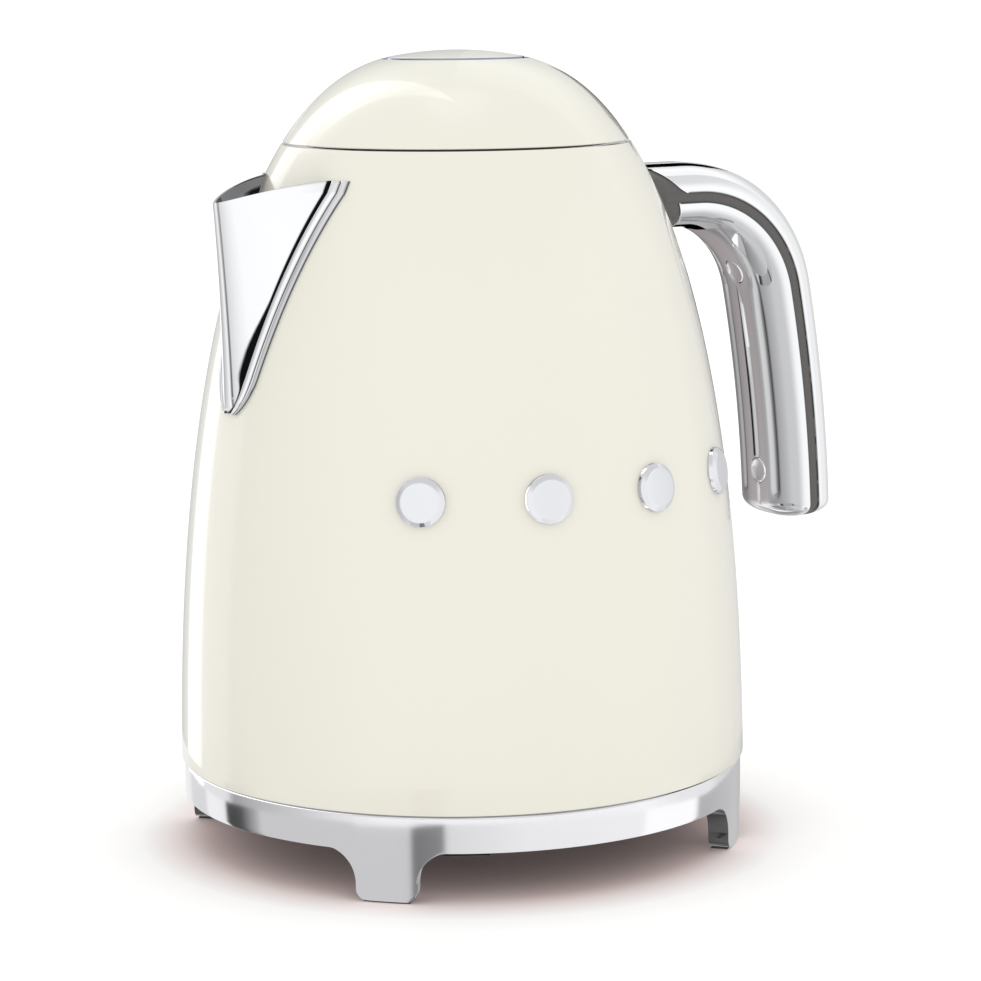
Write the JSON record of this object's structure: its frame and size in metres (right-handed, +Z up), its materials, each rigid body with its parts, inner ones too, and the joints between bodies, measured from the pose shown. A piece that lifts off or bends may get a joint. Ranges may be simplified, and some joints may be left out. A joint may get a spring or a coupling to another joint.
{
  "type": "electric kettle",
  "caption": "Cordless electric kettle: domed painted jug with a folded chrome spout, hooked chrome handle, hinged lid with a release button, power lever, and a footed swivel base.",
  "frame": {"origin": "on the jug's vertical axis, in the plane that the foot pads stand on", "axes": "+Z up along the jug's axis, +X towards the handle with the spout along -X, +Y completes the right-handed set"},
  "size_m": [0.2255, 0.1764, 0.2448],
  "materials": {
    "body_paint": "glossy enamel paint",
    "lid_paint": "glossy enamel paint",
    "base_metal": "polished with a fine satin grain",
    "spout_chrome": "mirror polish",
    "handle_chrome": "mirror polish",
    "stud_chrome": "polished",
    "handle_dark": "satin",
    "grey_plastic": "fine moulded grain",
    "base_plastic": "fine moulded grain",
    "white_plastic": "fine moulded grain",
    "foot_rubber": "matte",
    "inner_steel": "brushed",
    "element_steel": "dull",
    "contact_brass": "bright",
    "window_clear": "clear moulded plastic, tinted"
  },
  "bodies": {
    "base": {"base_ring": "base_metal", "foot_pads": "foot_rubber", "base_tray": "base_plastic", "base_under_cover": "base_plastic", "cord_spool": "base_plastic", "cord_gland": "foot_rubber", "base_connector": "grey_plastic", "connector_contacts": "contact_brass", "base_screws": "inner_steel"},
    "coupler": {"jug_coupler": "grey_plastic"},
    "jug": {"body_shell": "body_paint", "badge_studs": "stud_chrome", "jug_bottom_cover": "base_plastic", "heating_plate": "inner_steel", "plate_seal": "foot_rubber", "heating_element": "element_steel", "control_unit": "white_plastic", "bimetal_discs": "contact_brass", "steam_tube": "white_plastic", "lever_bracket": "grey_plastic", "lever_pin": "inner_steel", "spout": "spout_chrome", "spout_filter_frame": "white_plastic", "filter_mesh": "inner_steel", "water_window": "window_clear", "window_frame": "stud_chrome", "neck_ring": "grey_plastic", "hinge_bracket": "grey_plastic", "hinge_pin": "inner_steel", "hinge_spring": "inner_steel", "handle_core": "handle_dark", "handle_outer_shell": "handle_chrome", "handle_inner_shell": "handle_chrome", "handle_plugs": "handle_chrome", "grip_screws": "inner_steel", "handle_bracket": "inner_steel", "handle_screws": "inner_steel"},
    "lever": {"power_lever": "handle_chrome", "lever_knob": "handle_chrome"},
    "lid": {"lid_shell": "lid_paint", "lid_carrier": "grey_plastic", "lid_inner_cover": "grey_plastic", "lid_gasket": "foot_rubber", "lid_hinge_arm": "grey_plastic", "button_bezel": "stud_chrome", "lid_screws": "inner_steel", "button_spring": "inner_steel"},
    "button": {"lid_button": "lid_paint", "button_stem": "white_plastic"},
    "latch": {"lid_latch": "white_plastic"}
  },
  "joints": [
    {"name": "jug_lift", "type": "slide", "parent": "base", "child": "coupler", "axis": [0, 0, 1], "range_m": [0, 0.06]},
    {"name": "jug_swivel", "type": "hinge", "parent": "coupler", "child": "jug", "pos_m": [0, 0, 0.03], "axis": [0, 0, 1], "continuous": true},
    {"name": "lid_hinge", "type": "hinge", "parent": "jug", "child": "lid", "pos_m": [0.053, 0, 0.2185], "axis": [0, 1, 0], "range_deg": [0, 80]},
    {"name": "button_press", "type": "slide", "parent": "lid", "child": "button", "axis": [0, 0, -1], "range_m": [0, 0.0025], "stiffness_N_per_m": 500, "springref_m": -0.002, "deforming": ["button_spring"]},
    {"name": "latch_slide", "type": "slide", "parent": "lid", "child": "latch", "axis": [1, 0, 0], "range_m": [0, 0.0025]},
    {"name": "power_lever_tip", "type": "hinge", "parent": "jug", "child": "lever", "pos_m": [0.07, 0, 0.035], "axis": [0, 1, 0], "range_deg": [0, 12]}
  ],
  "couplings": [
    {"joint": "latch_slide", "follows": "button_press", "ratio": 1}
  ]
}
